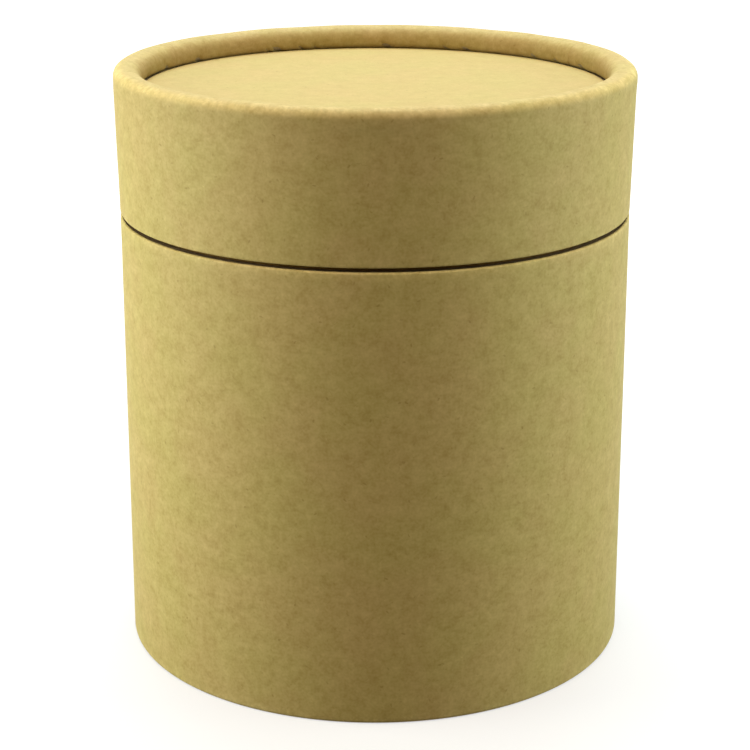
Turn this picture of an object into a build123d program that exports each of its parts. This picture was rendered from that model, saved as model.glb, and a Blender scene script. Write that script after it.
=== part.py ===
from build123d import *
import math
import os

# A round gift box made of wound board tube and kraft paper. The deep base carries a narrower neck that
# stands out of it, and the shallow lid slides down over the neck until its disc lands on the neck's edge.
# Lengths are in millimetres. The box stands on the plane z = 0 with its axis on Z.

# Outside of the box
tube_radius = 46.0  # of the papered tube at the seam between lid and base
base_height = 80.1  # of the base's wall, without the neck
lid_height = 25.9  # from the lid's mouth to the top of its rolled rim
seam_gap = 0.7  # shadow line between lid and base

# Paper and board
paper_thickness = 0.2
tube_wall = 1.4  # board of the base's tube
neck_wall = 1.2
disc_thickness = 1.6
board_edge_radius = 0.2  # rounding of a cut board edge under its paper
lap_width = 8.0  # overlap where a wrap's two ends are glued

# Fits
neck_clearance = 0.25  # all round, between the neck and the lid that slides on it
disc_clearance = 0.1  # glue line round each disc
top_clearance = 0.05  # between the lid's top paper and the rolled rim round it

# Rolled rim of the lid
roll_hollow = 2.2  # between the two legs of board
shoulder_radius = 1.7  # of the roll's outer bend, which is tighter than its inner one
rim_swell = 0.05  # how far the shoulder stands out past the wall
swell_height = 2.3  # over which it swells
lid_flare = 0.5  # how much wider the lid's wall is below the roll than at its mouth
leg_length = 0.5  # straight part of the leg that is turned in
board_tuck_radius = 1.1  # of the leg's board where the paper turns under it

# Foot of the base
foot_recess = 2.5  # from the plane that the box stands on up to the bottom disc
foot_edge_radius = 0.4  # rounding of the foot's board under its paper

# Directions of the glued overlaps, round Z from +X
base_lap_direction = 90
lid_lap_direction = 34

# Layers of paper and board
edge_radius = board_edge_radius + paper_thickness
foot_radius = foot_edge_radius + paper_thickness
tuck_radius = board_tuck_radius + paper_thickness
lid_wall = tube_wall - paper_thickness
tube_bore = tube_radius - paper_thickness - tube_wall
lid_board_bore = tube_radius - paper_thickness - lid_wall

# Heights of the lid
mouth_z = base_height + seam_gap
rim_top_z = mouth_z + lid_height
roll_radius = roll_hollow / 2 + lid_wall + paper_thickness
roll_z = rim_top_z - roll_radius
shoulder_z = rim_top_z - shoulder_radius
waist_z = shoulder_z - swell_height
tuck_z = roll_z - leg_length
lid_seat_z = tuck_z - tuck_radius
lid_disc_z = lid_seat_z - disc_thickness
lid_ceiling_z = lid_disc_z - paper_thickness

# Radii of the lid
waist_radius = tube_radius + lid_flare
rim_radius = waist_radius + rim_swell
rim_inner_radius = rim_radius - 2 * roll_radius
roll_centre_radius = rim_radius - roll_radius
shoulder_centre_radius = rim_radius - shoulder_radius
leg_outer_radius = rim_inner_radius + paper_thickness + lid_wall
swell_radius = (swell_height**2 + rim_swell**2) / (2 * rim_swell)
swell_angle = math.degrees(math.asin(swell_height / swell_radius))

# Stack of the base
base_disc_z = foot_recess + paper_thickness
neck_foot_z = base_disc_z + disc_thickness
neck_radius = tube_bore - neck_clearance
neck_board_radius = neck_radius - paper_thickness
neck_bore = neck_board_radius - neck_wall
neck_liner_bore = neck_bore - paper_thickness


def turned(section):
    """Solid of revolution round Z of a section drawn as (radius, height)."""
    return revolve(Plane.XZ * section, Axis.Z)


def ring(inner, outer, low, high):
    """Flat-ended section between two radii."""
    return make_face(Polyline((inner, low), (outer, low), (outer, high), (inner, high), close=True))


def round_plate(radius, low, thickness):
    """Round plate centred on Z."""
    return Pos(0, 0, low) * Cylinder(radius, thickness, align=(Align.CENTER, Align.CENTER, Align.MIN))


def cone_at(height):
    """How much the lid's wall has flared at a height."""
    return lid_flare * (height - mouth_z) / (waist_z - mouth_z)


def eased_ring(inner, outer, low, high, low_radius, high_radius):
    """Section between two radii whose outer corners are rounded; a corner of radius zero stays sharp."""
    section = ring(inner, outer, low, high)
    corners = section.vertices().sort_by(Axis.X)[-2:].sort_by(Axis.Y)
    for corner, radius in zip(corners, (low_radius, high_radius)):
        if radius > 0:
            near = section.vertices().sort_by_distance(corner)[0]
            section = fillet(near, radius)
    return section


def papered_wall(bore, radius, low, high, low_easing, high_easing):
    """Board and paper sections of a straight wall. The paper turns over the board's eased edges and
    ends flush with the cut board."""
    low_turn = low_easing + paper_thickness if low_easing else 0
    high_turn = high_easing + paper_thickness if high_easing else 0
    whole = eased_ring(bore, radius, low, high, low_turn, high_turn)
    skin_low = low + paper_thickness if low_easing else low
    skin_high = high - paper_thickness if high_easing else high
    eased = eased_ring(bore, radius - paper_thickness, skin_low, skin_high, low_easing, high_easing)
    core = ring(bore, radius - max(low_turn, high_turn, paper_thickness), low, high)
    board = eased + core
    return board, whole - board


def lap_strip(section, direction):
    """Overlap of a wrap's glued end, a strip of one more layer of paper along a section."""
    width = math.degrees(lap_width / tube_radius)
    strip = revolve(Plane.XZ * section, Axis.Z, width)
    return Rot(0, 0, direction - width / 2) * strip


def rolled_layer(depth):
    """Line that lies a depth under the lid's paper, from the waist over the shoulder and the roll."""
    swell_centre = (rim_radius - depth - swell_radius, shoulder_z)
    crown = rim_top_z - depth
    return [
        CenterArc(swell_centre, swell_radius, -swell_angle, swell_angle),
        CenterArc((shoulder_centre_radius, shoulder_z), shoulder_radius - depth, 0, 90),
        Line((shoulder_centre_radius, crown), (roll_centre_radius, crown)),
        CenterArc((roll_centre_radius, roll_z), roll_radius - depth, 90, 90),
    ]


def lid_layer(depth):
    """Line that lies a depth under the lid's paper, from the wall over the roll to the tucked end."""
    wall = (tube_radius - depth, mouth_z + edge_radius)
    waist = (waist_radius - depth, waist_z)
    leg = rim_inner_radius + depth
    tuck_centre = (rim_inner_radius + tuck_radius, tuck_z)
    underside = lid_seat_z + depth
    return [
        Line(wall, waist),
        *rolled_layer(depth),
        Line((leg, roll_z), (leg, tuck_z)),
        CenterArc(tuck_centre, tuck_radius - depth, 180, 90),
        Line((tuck_centre[0], underside), (leg_outer_radius, underside)),
    ]


def mouth_turn(depth):
    """Quarter turn of a layer over the edge of the lid's mouth."""
    return CenterArc((tube_radius - edge_radius, mouth_z + edge_radius), edge_radius - depth, -90, 90)


def lid_wrap():
    """Kraft paper round the lid, over the roll and tucked under the leg."""
    turn_radius = tube_radius - edge_radius
    section = make_face(
        [
            mouth_turn(0),
            *lid_layer(0),
            Line((leg_outer_radius, lid_seat_z), (leg_outer_radius, lid_seat_z + paper_thickness)),
            *lid_layer(paper_thickness),
            mouth_turn(paper_thickness),
            Line((turn_radius, mouth_z + paper_thickness), (turn_radius, mouth_z)),
        ]
    )
    lap = make_face(
        Polyline(
            (tube_radius, mouth_z + edge_radius),
            (tube_radius + paper_thickness, mouth_z + edge_radius),
            (waist_radius + paper_thickness, waist_z),
            (waist_radius, waist_z),
            close=True,
        )
    )
    return turned(section) + lap_strip(lap, lid_lap_direction)


def lid_tube():
    """Board tube of the lid, its top edge rolled inwards to a leg that stands on the disc."""
    turn_radius = tube_radius - edge_radius
    inside = paper_thickness + lid_wall
    inner_waist = (waist_radius - inside, waist_z)
    leg_end = (leg_outer_radius, lid_seat_z + paper_thickness)
    section = make_face(
        [
            mouth_turn(paper_thickness),
            *lid_layer(paper_thickness),
            Line(leg_end, (leg_outer_radius, roll_z)),
            *rolled_layer(inside),
            Line(inner_waist, (lid_board_bore, mouth_z)),
            Line((lid_board_bore, mouth_z), (turn_radius, mouth_z)),
            Line((turn_radius, mouth_z), (turn_radius, mouth_z + paper_thickness)),
        ]
    )
    return turned(section)


def lid_liner():
    """Kraft paper inside the lid's wall, from the mouth up to the disc."""
    flare = cone_at(lid_ceiling_z)
    section = make_face(
        Polyline(
            (lid_board_bore - paper_thickness, mouth_z),
            (lid_board_bore, mouth_z),
            (lid_board_bore + flare, lid_ceiling_z),
            (lid_board_bore + flare - paper_thickness, lid_ceiling_z),
            close=True,
        )
    )
    return turned(section)


def lid_disc_radius():
    """Radius of the lid's disc, which fits the flared wall at the disc's underside."""
    return lid_board_bore + cone_at(lid_ceiling_z) - disc_clearance


def base_pieces():
    """Tube, wrap, disc and papers of the base."""
    board, paper = papered_wall(tube_bore, tube_radius, 0, base_height, foot_edge_radius, board_edge_radius)
    lap = ring(tube_radius, tube_radius + paper_thickness, foot_radius, base_height - edge_radius)
    disc_radius = tube_bore - disc_clearance
    return {
        "base_tube": turned(board),
        "base_wrap": turned(paper) + lap_strip(lap, base_lap_direction),
        "base_disc": round_plate(disc_radius, base_disc_z, disc_thickness),
        "base_disc_facing": round_plate(disc_radius, foot_recess, paper_thickness),
        "base_floor_lining": round_plate(neck_liner_bore - disc_clearance, neck_foot_z, paper_thickness),
    }


def neck_pieces():
    """Neck that stands on the base's disc and carries the lid's disc on its top edge."""
    board, paper = papered_wall(neck_bore, neck_radius, neck_foot_z, lid_ceiling_z, 0, board_edge_radius)
    liner = ring(neck_liner_bore, neck_bore, neck_foot_z, lid_ceiling_z)
    return {
        "neck_tube": turned(board),
        "neck_wrap": turned(paper),
        "neck_liner": turned(liner),
    }


def lid_pieces():
    """Tube, papers and disc of the lid."""
    disc_radius = lid_disc_radius()
    return {
        "lid_tube": lid_tube(),
        "lid_wrap": lid_wrap(),
        "lid_liner": lid_liner(),
        "lid_disc": round_plate(disc_radius, lid_disc_z, disc_thickness),
        "lid_disc_facing": round_plate(rim_inner_radius - top_clearance, lid_seat_z, paper_thickness),
        "lid_disc_lining": round_plate(disc_radius, lid_ceiling_z, paper_thickness),
    }


os.makedirs("parts", exist_ok=True)
for name, shape in {**base_pieces(), **neck_pieces(), **lid_pieces()}.items():
    export_step(shape, f"parts/{name}.step")
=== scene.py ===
"""Looks of a round gift box of wound board and kraft paper, with a rolled rim on its lid.

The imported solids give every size. The papers and boards that show are turned again with finer meshes,
and get their glued overlaps, the gathers of the rolled rim, the plies of the cut edges and the grain
of the paper. Lengths are in metres.
"""
import logging
import math
from dataclasses import dataclass, field
from enum import Enum
from typing import Callable

import bmesh
import bpy
from mathutils import Matrix, Vector, noise


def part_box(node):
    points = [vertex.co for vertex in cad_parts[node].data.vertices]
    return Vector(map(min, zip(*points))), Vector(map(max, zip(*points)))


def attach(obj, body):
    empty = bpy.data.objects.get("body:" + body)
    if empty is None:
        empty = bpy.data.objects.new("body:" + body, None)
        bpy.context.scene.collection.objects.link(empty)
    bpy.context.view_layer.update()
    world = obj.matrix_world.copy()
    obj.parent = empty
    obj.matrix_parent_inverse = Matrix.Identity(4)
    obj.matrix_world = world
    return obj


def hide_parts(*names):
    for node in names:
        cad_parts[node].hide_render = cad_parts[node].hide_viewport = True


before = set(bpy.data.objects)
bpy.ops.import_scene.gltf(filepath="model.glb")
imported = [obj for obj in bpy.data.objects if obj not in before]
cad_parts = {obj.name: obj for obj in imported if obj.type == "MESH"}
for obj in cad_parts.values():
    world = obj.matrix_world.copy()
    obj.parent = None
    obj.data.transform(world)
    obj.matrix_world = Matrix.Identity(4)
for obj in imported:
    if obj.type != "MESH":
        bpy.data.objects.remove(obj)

Colour = tuple[float, float, float]
Material = bpy.types.Material
Mesh = bmesh.types.BMesh
Node = bpy.types.Node
Socket = bpy.types.NodeSocket
Vert = bmesh.types.BMVert

LOG = logging.getLogger("gift_box")
MM = 0.001
FULL_TURN = 2 * math.pi
QUARTER_TURN = math.pi / 2
UP = Vector((0, 0, 1))
SHEET_UV = "sheet"
# Point layers: run along the sheet, shown side, scuffing with painted highlight, dusting with painted shade.
RUN, FACE, WEAR_AND_HIGHLIGHT, DUST_AND_SHADE = "run", "face", "wear_and_highlight", "dust_and_shade"
MERGE_DISTANCE = 1e-7
SECTOR_DOUBLINGS = 3
RIPPLE_GAIN = 1.6


class Body(Enum):
    """The two bodies of the box."""

    BASE = "base"
    LID = "lid"


class Slot(Enum):
    """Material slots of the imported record."""

    WRAP = "kraft_wrap"
    LINING = "kraft_lining"
    BOARD = "board"


class Side(Enum):
    """Which side of a papered sheet a point of its section lies on."""

    SHOWN = 1.0
    GLUED = 0.0


class Graph:
    """Short ways to add and join the nodes of one material or sky."""

    def __init__(self, tree: bpy.types.NodeTree) -> None:
        """Empties the tree that it then fills."""
        self.tree = tree
        tree.nodes.clear()

    def add(self, kind: str, given: dict[str | int, object] | None = None, **settings: object) -> Node:
        """Adds a node.

        Args:
            kind: the node's type without its ShaderNode prefix.
            given: what its inputs get, by their names or numbers.
            **settings: properties of the node.

        Returns:
            The new node.
        """
        made = self.tree.nodes.new("ShaderNode" + kind)
        for name, value in settings.items():
            setattr(made, name, value)
        for name, value in (given or {}).items():
            self.feed(made.inputs[name], value)
        return made

    def feed(self, socket: Socket, value: object) -> None:
        """Links an input to an output, or sets it to a constant.

        Args:
            socket: the input.
            value: an output socket, a number or a tuple.
        """
        if isinstance(value, Socket):
            self.tree.links.new(value, socket)
        else:
            socket.default_value = value

    def end(self, kind: str, shader: Socket) -> None:
        """Ends the tree in an output node that shows a shader."""
        self.add(kind, {"Surface": shader})

    def math(self, operation: str, first: object, second: object = 0.0) -> Socket:
        """Result of a Math node."""
        return self.add("Math", {0: first, 1: second}, operation=operation).outputs[0]

    def vector(self, operation: str, first: object, second: object) -> Socket:
        """Resulting vector of a Vector Math node."""
        return self.add("VectorMath", {0: first, 1: second}, operation=operation).outputs[0]

    def length(self, vector: object) -> Socket:
        """Length of a vector."""
        return self.add("VectorMath", {0: vector}, operation="LENGTH").outputs["Value"]

    def layer(self, name: str) -> Socket:
        """Value that the points of a piece store under a name, such as WEAR_AND_HIGHLIGHT."""
        return self.add("Attribute", attribute_name=name).outputs["Fac"]

    def ramp(self, value: object, low: float, high: float, to_low: float, to_high: float) -> Socket:
        """Maps a value with a smooth step, from to_low at low and before to to_high at high and after."""
        given = {"Value": value, "From Min": low, "From Max": high, "To Min": to_low, "To Max": to_high}
        return self.add("MapRange", given, interpolation_type="SMOOTHSTEP").outputs["Result"]

    def noise(
        self, vector: object, size: float, detail: float = 2.0, roughness: float = 0.5, output: str = "Fac"
    ) -> Socket:
        """Noise whose broadest features have a size in the units of the coordinates."""
        given = {"Vector": vector, "Scale": 1 / size, "Detail": detail, "Roughness": roughness}
        return self.add("TexNoise", given).outputs[output]

    def blend(self, factor: object, first: object, second: object, mode: str = "MIX") -> Socket:
        """Mixes two colours.

        Args:
            factor: how much of the second shows.
            first: the first colour.
            second: the second colour.
            mode: the blend type.

        Returns:
            The mixed colour.
        """
        made = self.add("Mix", {"Factor": factor}, data_type="RGBA", blend_type=mode)
        for socket, value in zip([s for s in made.inputs if s.type == "RGBA"], (first, second)):
            self.feed(socket, value)
        return next(s for s in made.outputs if s.type == "RGBA")

    def tinted(self, amount: object, colour: object, tint: Colour) -> Socket:
        """Multiplies a colour by a tint, where an amount of 1 shows all of the tint and 0 nothing."""
        return self.blend(amount, colour, self.blend(1.0, colour, (*tint, 1.0), "MULTIPLY"))

    def bump(self, height: object, depth: float, under: object = None) -> Socket:
        """Normal bent by a height, where 1 is the full depth, over the normal of a bump under it."""
        given = {"Height": height, "Distance": depth} | ({} if under is None else {"Normal": under})
        return self.add("Bump", given).outputs["Normal"]

    def seen_rays(self) -> Socket:
        """Tells rays from the camera, reflections and clear materials apart from the rest.

        Returns:
            1 for those rays and 0 for the rest.
        """
        path = self.add("LightPath").outputs
        seen = self.math("MAXIMUM", path["Is Camera Ray"], path["Is Glossy Ray"])
        return self.math("MAXIMUM", seen, path["Is Transmission Ray"])


def new_material(name: str) -> tuple[Material, Graph]:
    """Starts a material.

    Args:
        name: its name.

    Returns:
        The material and its empty graph.
    """
    material = bpy.data.materials.new(name)
    material.use_nodes = True
    return material, Graph(material.node_tree)


@dataclass(frozen=True)
class Fibres:
    """One kind of fibre in the pulp, at most one to a cell of the sheet. Sizes are in millimetres.

    Attributes:
        cell: size of the cells.
        reach: half length of a fibre.
        width: half width of a fibre.
        share: share of the cells that hold one.
        tint: what the paper's colour is multiplied by on the fibre.
        strength: how much of the tint shows.
        faintest: how strong the faintest fibre is, against the strongest.
        core: share of a fibre's half length and width inside which it doesn't fade.
    """

    cell: float
    reach: float
    width: float
    share: float
    tint: Colour
    strength: float
    faintest: float = 0.35
    core: float = 0.5

    def mask(self, graph: Graph, place: object, shift: float) -> Socket:
        """Finds where the fibres lie.

        Args:
            graph: the material's nodes.
            place: coordinates on the sheet, in millimetres.
            shift: offset of the cells, which keeps the kinds apart.

        Returns:
            A value from 0, off the fibres, to the strength.
        """
        cells = graph.vector("MULTIPLY", place, (1 / self.cell, 1 / self.cell, 0.0))
        cells = graph.vector("ADD", cells, (shift, shift, 0.0))
        scattered = {"Vector": cells, "Scale": 1.0}
        found = graph.add("TexVoronoi", scattered, voronoi_dimensions="2D", feature="F1").outputs
        angle, held, strong = graph.add("SeparateColor", {0: found["Color"]}).outputs
        turning = {
            "Vector": graph.vector("SUBTRACT", cells, found["Position"]),
            "Angle": graph.math("MULTIPLY", angle, math.pi),
        }
        spot = graph.add("VectorRotate", turning, rotation_type="Z_AXIS").outputs["Vector"]
        squeeze = (self.cell / self.reach, self.cell / self.width, 0.0)
        away = graph.length(graph.vector("MULTIPLY", spot, squeeze))
        inside = graph.ramp(away, self.core, 1.0, 1.0, 0.0)
        shown = graph.math("MULTIPLY", inside, graph.math("LESS_THAN", held, self.share))
        fading = graph.math("MULTIPLY", graph.ramp(strong, 0.0, 1.0, self.faintest, 1.0), self.strength)
        return graph.math("MULTIPLY", shown, fading)


@dataclass(frozen=True)
class KraftPaper:
    """Unbleached kraft paper: cloudy pulp, a felt-like grain, short dark and pale fibres, a dry face.

    Attributes:
        name: the material's name.
        tan: linear colour of the warmer clouds.
        olive: linear colour of the greener clouds.
        cloud: size of the clouds, in millimetres.
        mottle: size of the broadest mottling, in millimetres.
        depth: how much darker or paler the mottling makes each channel.
        grain: size of the felt-like grain, in millimetres.
        relief: depth of the grain.
        fineness: size and depth of the finest grain, against the felt-like one.
        fibre_relief: how far a fibre stands out, against the grain.
        curl: size of the bends in the fibres, in millimetres.
        bend: how far the fibres are bent, in millimetres.
        fibre_shift: offset between the cells of two kinds of fibre, in cells.
        roughness: mean roughness.
        roughness_range: how far the roughness strays from its mean.
        flecks: how strongly the dark fibres show.
        rubbed_and_highlit: what the colour is multiplied by at full scuffing and painted highlight.
        rub_and_highlight_strength: how much of it shows.
        dust_and_shade: what the colour is multiplied by at full dusting and painted shade.
    """

    name: str
    tan: Colour
    olive: Colour
    cloud: float = 14.0
    mottle: float = 3.4
    depth: Colour = (0.36, 0.43, 0.68)
    grain: float = 1.2
    relief: float = 0.014 * MM
    fineness: float = 0.3
    fibre_relief: float = 0.3
    curl: float = 1.1
    bend: float = 0.5
    fibre_shift: float = 3.7
    roughness: float = 0.66
    roughness_range: float = 0.07
    flecks: float = 0.4
    rubbed_and_highlit: Colour = (1.35, 1.38, 1.5)
    rub_and_highlight_strength: float = 0.9
    dust_and_shade: Colour = (0.4, 0.25, 0.1)

    def kinds(self) -> tuple[Fibres, ...]:
        """The kinds of fibre that show."""
        return (
            Fibres(3.4, 0.40, 0.20, 0.36, (0.52, 0.44, 0.30), self.flecks),
            Fibres(1.5, 0.24, 0.12, 0.30, (0.66, 0.58, 0.46), 0.8 * self.flecks),
            Fibres(0.9, 0.60, 0.035, 0.60, (1.20, 1.22, 1.30), 0.5),
            Fibres(1.7, 1.05, 0.04, 0.45, (0.78, 0.74, 0.66), 0.6),
        )

    def material(self) -> Material:
        """Builds the material.

        Returns:
            The material, which reads the flat sheet's own UV map.
        """
        material, graph = new_material(self.name)
        sheet = graph.add("UVMap", uv_map=SHEET_UV).outputs["UV"]
        place = graph.vector("MULTIPLY", sheet, (1 / MM, 1 / MM, 0.0))
        clouds = graph.ramp(graph.noise(place, self.cloud, 2.0, 0.6), 0.3, 0.7, 0.0, 1.0)
        height = graph.noise(place, self.grain, 2.5, 0.6)
        fine = graph.noise(place, self.fineness * self.grain, 2.0, 0.6)
        colour = self.mottled(graph, place, graph.blend(clouds, (*self.olive, 1.0), (*self.tan, 1.0)))
        wander = graph.vector("SUBTRACT", graph.noise(place, self.curl, output="Color"), (0.5, 0.5, 0.5))
        bent = graph.vector("ADD", place, graph.vector("MULTIPLY", wander, (self.bend, self.bend, 0.0)))
        for number, kind in enumerate(self.kinds()):
            mask = kind.mask(graph, bent, self.fibre_shift * number)
            colour = graph.tinted(mask, colour, kind.tint)
            height = graph.math("ADD", height, graph.math("MULTIPLY", mask, self.fibre_relief))
        smoothest, roughest = (self.roughness + sense * self.roughness_range for sense in (-1, 1))
        given = {
            # Colour: dusting with painted shade darkens it, scuffing with painted highlight pales it.
            "Base Color": graph.tinted(graph.layer(DUST_AND_SHADE), self.rub_and_highlight(graph, place, colour), self.dust_and_shade),
            "Roughness": graph.ramp(fine, 0.2, 0.8, smoothest, roughest),
            "Specular IOR Level": 0.2,
            "Normal": graph.bump(fine, self.fineness * self.relief, graph.bump(height, self.relief)),
        }
        graph.end("OutputMaterial", graph.add("BsdfPrincipled", given).outputs["BSDF"])
        return material

    def mottled(self, graph: Graph, place: object, colour: object) -> Socket:
        """Mottles the pulp alike at all sizes, down to the grain; its dark spots are also more saturated.

        Args:
            graph: the material's nodes.
            place: coordinates on the sheet, in millimetres.
            colour: the pulp's colour.

        Returns:
            The mottled colour.
        """
        spots = graph.noise(place, self.mottle, 3.0, 1.0)
        dark, pale = ([1 + sense * share for share in self.depth] + [1.0] for sense in (-1, 1))
        return graph.blend(1.0, colour, graph.blend(spots, tuple(dark), tuple(pale)), "MULTIPLY")

    def rub_and_highlight(self, graph: Graph, place: object, colour: object) -> Socket:
        """Pales the paper where it is scuffed, and where a highlight is painted on the roll's crown and the
        edges at the seam.

        Args:
            graph: the material's nodes.
            place: coordinates on the sheet, in millimetres.
            colour: the paper's colour.

        Returns:
            The paled colour.
        """
        patches = graph.ramp(graph.noise(place, 1.3, 3.0, 0.7), 0.4, 0.65, 0.2, 1.0)
        # Painted highlight: on the roll's crown and the seam's edges this paling stands for light as well as
        # scuffing.
        amount = graph.math("MULTIPLY", graph.math("MULTIPLY", graph.layer(WEAR_AND_HIGHLIGHT), patches), self.rub_and_highlight_strength)
        return graph.tinted(amount, colour, self.rubbed_and_highlit)


@dataclass(frozen=True)
class WoundBoard:
    """Grey board in wound plies, whose cut edges show the plies as fine rings.

    Attributes:
        name: the material's name.
        tone: linear colour of the board.
        ply: thickness of one ply, in millimetres.
        waver: how far the plies waver, in millimetres.
        joint: half width of the glue line between two plies, in plies.
        joint_shade: how much darker the glue line is.
        fuzz: size of the board's fuzz, in millimetres.
        relief: depth of the fuzz.
        dust_and_shade: what the colour is multiplied by at full dusting and painted shade.
    """

    name: str
    tone: Colour
    ply: float = 0.35
    waver: float = 0.45
    joint: float = 0.17
    joint_shade: float = 0.28
    fuzz: float = 0.45
    relief: float = 0.05 * MM
    dust_and_shade: Colour = (0.4, 0.25, 0.12)

    def material(self) -> Material:
        """Builds the material.

        Returns:
            The material, whose plies are circles round the box's axis.
        """
        material, graph = new_material(self.name)
        spot = graph.add("TexCoord").outputs["Object"]
        place = graph.vector("MULTIPLY", spot, (1 / MM, 1 / MM, 1 / MM))
        reach = graph.length(graph.vector("MULTIPLY", place, (1.0, 1.0, 0.0)))
        wobble = graph.math("MULTIPLY", graph.noise(place, 3.0), self.waver)
        plies = graph.math("DIVIDE", graph.math("ADD", reach, wobble), self.ply)
        joint = graph.ramp(graph.math("PINGPONG", plies, 0.5), 0.0, self.joint, 1.0, 0.0)
        fuzz = graph.noise(place, self.fuzz, 3.0, 0.65)
        shade = graph.math("MULTIPLY", joint, self.joint_shade)
        light = graph.math("SUBTRACT", graph.ramp(fuzz, 0.25, 0.75, 0.84, 1.14), shade)
        grey = graph.add("CombineColor", {channel: light for channel in range(3)}).outputs[0]
        colour = graph.blend(1.0, (*self.tone, 1.0), grey, "MULTIPLY")
        height = graph.math("SUBTRACT", fuzz, graph.math("MULTIPLY", joint, 0.8))
        given = {
            # Painted shade: the board darkens by the layer of dusting and painted shade, most at its cut edge
            # in the seam.
            "Base Color": graph.tinted(graph.layer(DUST_AND_SHADE), colour, self.dust_and_shade),
            "Roughness": graph.ramp(fuzz, 0.2, 0.8, 0.82, 0.95),
            "Specular IOR Level": 0.25,
            "Normal": graph.bump(height, self.relief),
        }
        graph.end("OutputMaterial", graph.add("BsdfPrincipled", given).outputs["BSDF"])
        return material


@dataclass(frozen=True)
class PaleFloor:
    """Plain pale floor that reads as white to the camera and still takes the box's shadow.

    Attributes:
        name: the material's name.
        tone: linear grey of the floor where it is seen.
        bounce: linear colour that it throws back on to the box.
        near_lift: light added near the box where the camera or a reflection looks at it.
        near: distance from the box at which the lift starts to grow.
        far: distance from which the floor is white.
    """

    name: str
    tone: float = 0.35
    bounce: Colour = (0.16, 0.13, 0.08)
    near_lift: float = 0.58
    near: float = 0.05
    far: float = 0.4

    def material(self) -> Material:
        """Builds the material.

        Returns:
            The material, whose white doesn't light the box.
        """
        material, graph = new_material(self.name)
        seen = graph.seen_rays()
        pale = (self.tone, self.tone, self.tone, 1.0)
        skin = graph.add("BsdfDiffuse", {"Color": graph.blend(seen, (*self.bounce, 1.0), pale)})
        away = graph.length(graph.add("TexCoord").outputs["Object"])
        lift = graph.ramp(away, self.near, self.far, self.near_lift, 1.0)
        glow = graph.add("Emission", {"Strength": graph.math("MULTIPLY", seen, lift)})
        both = graph.add("AddShader", {0: skin.outputs[0], 1: glow.outputs[0]})
        graph.end("OutputMaterial", both.outputs[0])
        return material


class Profile:
    """Section of a piece, drawn in the XZ plane with the radius along X, and then turned round Z.

    Each point keeps how far along the sheet it lies and which of the sheet's sides it is on.
    """

    def __init__(self, radius: float, height: float) -> None:
        """Starts the section at a point of the shown side.

        Args:
            radius: distance of the point from the axis.
            height: height of the point.
        """
        self.mesh = bmesh.new()
        for name in (RUN, FACE, WEAR_AND_HIGHLIGHT, DUST_AND_SHADE):
            self.mesh.verts.layers.float.new(name)
        self.side = Side.SHOWN
        self.points = [self.mesh.verts.new((radius, 0, height))]
        self.marks = [(0.0, self.side)]

    def keep(self, made: list[Vert]) -> None:
        """Takes over new points and measures how far along the sheet they lie.

        Args:
            made: the points in drawing order.
        """
        for point in made:
            step = (point.co - self.points[-1].co).length
            sign = 1 if self.side is Side.SHOWN else -1
            self.marks.append((self.marks[-1][0] + sign * step, self.side))
            self.points.append(point)

    def line(self, radius: float, height: float, parts: int = 1) -> "Profile":
        """Draws a straight run.

        Args:
            radius: where it ends.
            height: where it ends.
            parts: number of edges.

        Returns:
            The profile.
        """
        step = (Vector((radius, 0, height)) - self.points[-1].co) / parts
        for _ in range(parts):
            made = bmesh.ops.extrude_vert_indiv(self.mesh, verts=[self.points[-1]])["verts"]
            bmesh.ops.translate(self.mesh, vec=step, verts=made)
            self.keep(made)
        return self

    def arc(self, radius: float, height: float, angle: float, parts: int) -> "Profile":
        """Draws an arc from the last point on.

        Args:
            radius: the centre's distance from the axis.
            height: the centre's height.
            angle: how far it turns, positive from +X towards +Z.
            parts: number of edges.

        Returns:
            The profile.
        """
        count = len(self.mesh.verts)
        last, centre = [self.points[-1]], (radius, 0, height)
        bmesh.ops.spin(self.mesh, geom=last, cent=centre, axis=(0, -1, 0), angle=angle, steps=parts)
        self.mesh.verts.ensure_lookup_table()
        self.keep(self.mesh.verts[count:])
        return self

    def turn_over(self) -> "Profile":
        """Goes on with the glued side of the sheet."""
        self.side = Side.GLUED
        return self

    def revolve(self, steps: int, start: float = 0.0, closed: bool = True) -> Mesh:
        """Turns the section into a closed skin.

        Args:
            steps: number of divisions round the axis.
            start: direction of the first division.
            closed: whether the last point joins the first. A section that ends on the axis stays open.

        Returns:
            The skin.
        """
        run, face = (self.mesh.verts.layers.float[name] for name in (RUN, FACE))
        for point, (along, side) in zip(self.points, self.marks):
            point[run], point[face] = along, side.value
        if closed:
            self.mesh.edges.new((self.points[-1], self.points[0]))
        whole = self.mesh.verts[:] + self.mesh.edges[:]
        swing(self.mesh, start, self.mesh.verts)
        sector = FULL_TURN / 2**SECTOR_DOUBLINGS
        parts = steps // 2**SECTOR_DOUBLINGS
        bmesh.ops.spin(self.mesh, geom=whole, cent=(0, 0, 0), axis=UP, angle=sector, steps=parts)
        for number in range(SECTOR_DOUBLINGS):
            made = self.mesh.verts[:] + self.mesh.edges[:] + self.mesh.faces[:]
            twin = bmesh.ops.duplicate(self.mesh, geom=made)["geom"]
            swing(self.mesh, sector * 2**number, [item for item in twin if isinstance(item, Vert)])
        bmesh.ops.remove_doubles(self.mesh, verts=self.mesh.verts, dist=MERGE_DISTANCE)
        bmesh.ops.recalc_face_normals(self.mesh, faces=self.mesh.faces)
        self.mesh.normal_update()
        return self.mesh


def swing(mesh: Mesh, angle: float, verts: list[Vert]) -> None:
    """Turns points of a mesh round the axis."""
    bmesh.ops.rotate(mesh, cent=(0, 0, 0), matrix=Matrix.Rotation(angle, 3, "Z"), verts=verts)


def bearing(spot: Vector, start: float) -> float:
    """Direction of a point round the axis, from 0 at the start to a full turn."""
    return (math.atan2(spot.y, spot.x) - start) % FULL_TURN


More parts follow.
